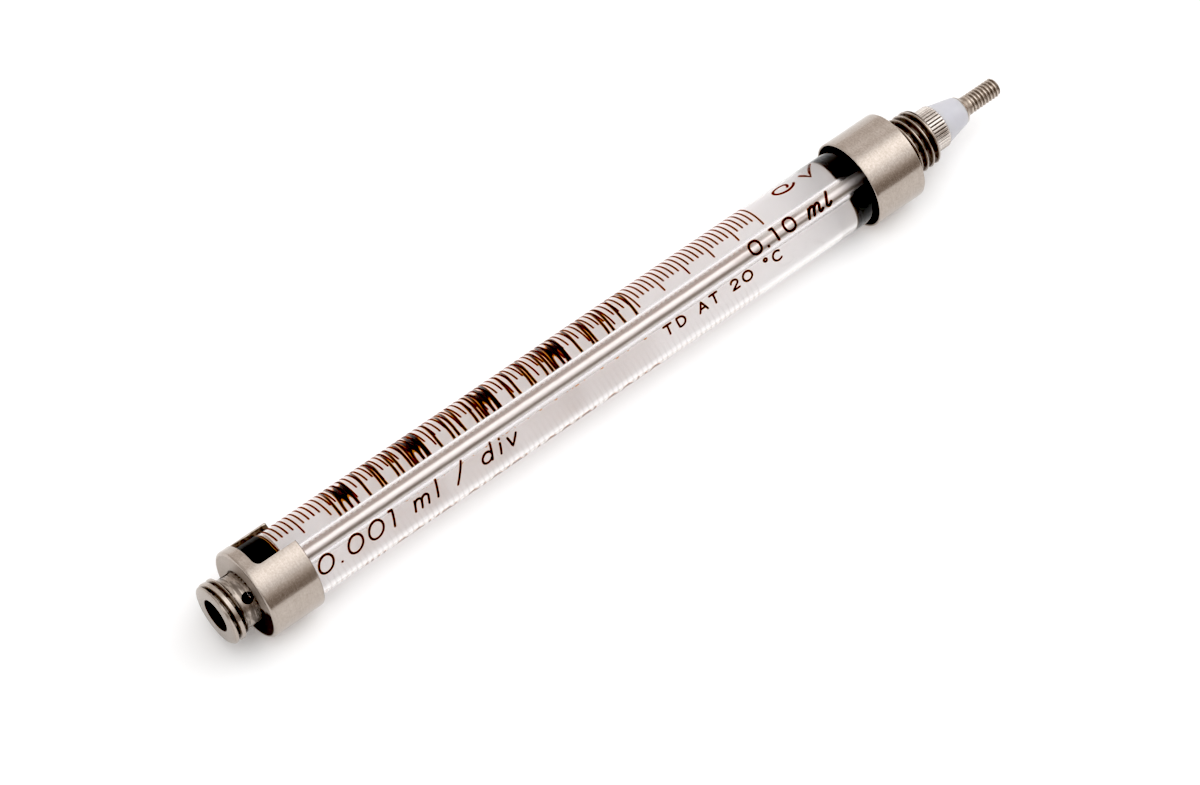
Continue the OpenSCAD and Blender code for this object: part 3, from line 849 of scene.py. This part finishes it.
# ---------------------------------------------------------------- plunger
c = 0.06
outline = [(0.02, ZERO_X), (ROD_R - c, ZERO_X), (ROD_R, ZERO_X + c)] + tube_line(ROD_R, ZERO_X + 2, FLARE_X0 - 1, 30) + [(ROD_R, FLARE_X0 + 1.5), (0.02, FLARE_X0 + 1.5)]
rod = turned("plunger_rod_ground", outline, 96, PLUNGER, "plunger", sharp=30)
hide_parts("plunger_rod")

STUD_R, FLARE_R, FLARE_L = 0.98, 1.42, 0.76
FLARE_X1 = FLARE_X0 + FLARE_L


def stud_depth(p, x):
    fade = min(max((x - FLARE_X1 - 0.25) / 0.25, 0), 1)
    return vee(0.20, 0.2, 0.2, p) * fade


def stud_limit(x):
    return STUD_R - 0.16 + max(STUD_X1 - x, 0) * 0.9


outline = [(ROD_R, FLARE_X0 + 0.04), (ROD_R + 0.04, FLARE_X0), (FLARE_R - 0.04, FLARE_X0), (FLARE_R, FLARE_X0 + 0.04)]
outline += [(STUD_R + (FLARE_R - STUD_R) * (1 - t) ** 2, FLARE_X0 + 0.05 + (FLARE_L - 0.05) * t) for t in np.linspace(0.1, 1, 12)]
outline += [Helix(FLARE_X1 + 0.02, STUD_X1 - 0.004, 0.4, STUD_R, stud_depth, 14, stud_limit)]
outline += [(STUD_R - 0.18, STUD_X1), (0.3, STUD_X1), (0.02, STUD_X1), (0.02, FLARE_X0 + 1.5), (ROD_R, FLARE_X0 + 1.5)]
stud = turned("plunger_stud_threaded", outline, 128, STUD, "plunger", sharp=40)
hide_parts("plunger_stud")

# The packing ring is hidden in the stub and stays as it is.
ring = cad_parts["packing_ring"]
ring.data.materials.clear()
ring.data.materials.append(PTFE)

# ---------------------------------------------------------------- floor, light, camera
FLOOR_Z = -COLLAR_R * MM
me = bpy.data.meshes.new("floor")
S = 1.6
me.from_pydata([(-S, -S, FLOOR_Z - 2e-6), (S, -S, FLOOR_Z - 2e-6), (S, S, FLOOR_Z - 2e-6), (-S, S, FLOOR_Z - 2e-6)], [], [(0, 1, 2, 3)])
floor = bpy.data.objects.new("floor", me)
bpy.context.scene.collection.objects.link(floor)
fm, nt, out = new_material("floor_white")
fb = node(nt, "ShaderNodeBsdfPrincipled", Roughness=0.6)
fb.inputs["Base Color"].default_value = (0.95, 0.96, 0.97, 1)
fb.inputs["Specular IOR Level"].default_value = 0.2
link(nt, fb.outputs[0], out.inputs["Surface"])
me.materials.append(fm)

# The light is a plain tent: brightest overhead, dim towards the camera's side.
# Angles are around the syringe's axis, from the far horizon over the top.
TENT = [(0, 0.66), (16, 0.60), (30, 0.62), (48, 0.74), (60, 0.66), (68, 0.68), (76, 0.86), (84, 1.14), (94, 1.34), (104, 1.36),
        (113, 1.26), (122, 1.08), (131, 0.86), (140, 0.68), (150, 0.44), (160, 0.28), (172, 0.24), (180, 0.30)]
WARM, COOL = (1.0, 0.87, 0.78), (1.0, 1.0, 1.0)

world = bpy.data.worlds.new("studio")
bpy.context.scene.world = world
world.use_nodes = True
nt = world.node_tree
bg = nt.nodes["Background"]
tc = nt.nodes.new("ShaderNodeTexCoord")
sep = nt.nodes.new("ShaderNodeSeparateXYZ")
link(nt, tc.outputs["Generated"], sep.inputs[0])
turn = math_node(nt, "ARCTAN2", sep.outputs["Z"], sep.outputs["Y"])
turn = math_node(nt, "DIVIDE", turn, math.pi, clamp=True)
stops = []
for deg, v in TENT:
    w = min(max((v - 0.25) / 0.6, 0), 1)
    stops.append((deg / 180, [v / 1.5 * (WARM[i] * (1 - w) + COOL[i] * w) for i in range(3)]))
link(nt, ramp(nt, turn, stops), bg.inputs["Color"])
ALONG = [(-1.0, 1.0), (-0.5, 1.0), (-0.15, 1.1), (0.10, 1.26), (0.35, 1.28), (0.55, 1.42), (0.72, 1.7), (1.0, 1.8)]
side = ramp(nt, math_node(nt, "MULTIPLY_ADD", sep.outputs["X"], 0.5, 0.5), [((x + 1) / 2, [v / 3] * 3) for x, v in ALONG])
tent = math_node(nt, "MULTIPLY", side, 3 * 1.5 * 1.15)
link(nt, tent, bg.inputs["Strength"])
# A soft fill stands beyond the nose, on the camera's side.
dot = nt.nodes.new("ShaderNodeVectorMath")
dot.operation = "DOT_PRODUCT"
link(nt, tc.outputs["Generated"], dot.inputs[0])
dot.inputs[1].default_value = Vector((-0.60, -0.52, 0.61)).normalized()
lobe = nt.nodes.new("ShaderNodeBackground")
lobe.inputs["Color"].default_value = (1.0, 0.99, 0.98, 1)
link(nt, step(nt, dot.outputs["Value"], 0.80, 0.96, 0.0, 0.15), lobe.inputs["Strength"])
both = nt.nodes.new("ShaderNodeAddShader")
link(nt, bg.outputs[0], both.inputs[0])
link(nt, lobe.outputs[0], both.inputs[1])
link(nt, both.outputs[0], nt.nodes["World Output"].inputs["Surface"])

cam_data = bpy.data.cameras.new("camera")
cam = bpy.data.objects.new("camera", cam_data)
bpy.context.scene.collection.objects.link(cam)
EL, AZ = math.radians(56.191), math.radians(-39.434)
fwd = Vector((-math.sin(AZ) * math.cos(EL), math.cos(AZ) * math.cos(EL), -math.sin(EL)))
right = fwd.cross(Vector((0, 0, 1))).normalized()
up = right.cross(fwd)
m = Matrix((right, up, -fwd)).transposed().to_4x4()
m.translation = Vector((-0.11637, -0.19580, 0.37222))
cam.matrix_world = m
cam_data.sensor_fit = "HORIZONTAL"
cam_data.sensor_width = 36.0
cam_data.lens = 4845.2 / 1200 * 36
cam_data.clip_start, cam_data.clip_end = 0.01, 20
bpy.context.scene.camera = cam
bpy.context.scene.view_settings.view_transform = "Standard"
bpy.context.scene.view_settings.look = "None"
bpy.context.scene.cycles.transparent_max_bounces = 24
# A touch of contrast in the blacks, as a product photograph is printed.
# Light has to find its way through a thick tube and back, so paths may be long.
cycles = bpy.context.scene.cycles
cycles.max_bounces, cycles.glossy_bounces, cycles.transmission_bounces = 24, 16, 24
cycles.blur_glossy = 0.0
bpy.context.scene.view_settings.use_curve_mapping = True
bpy.context.scene.view_settings.curve_mapping.black_level = (0.026, 0.026, 0.026)
bpy.context.scene.view_settings.curve_mapping.update()
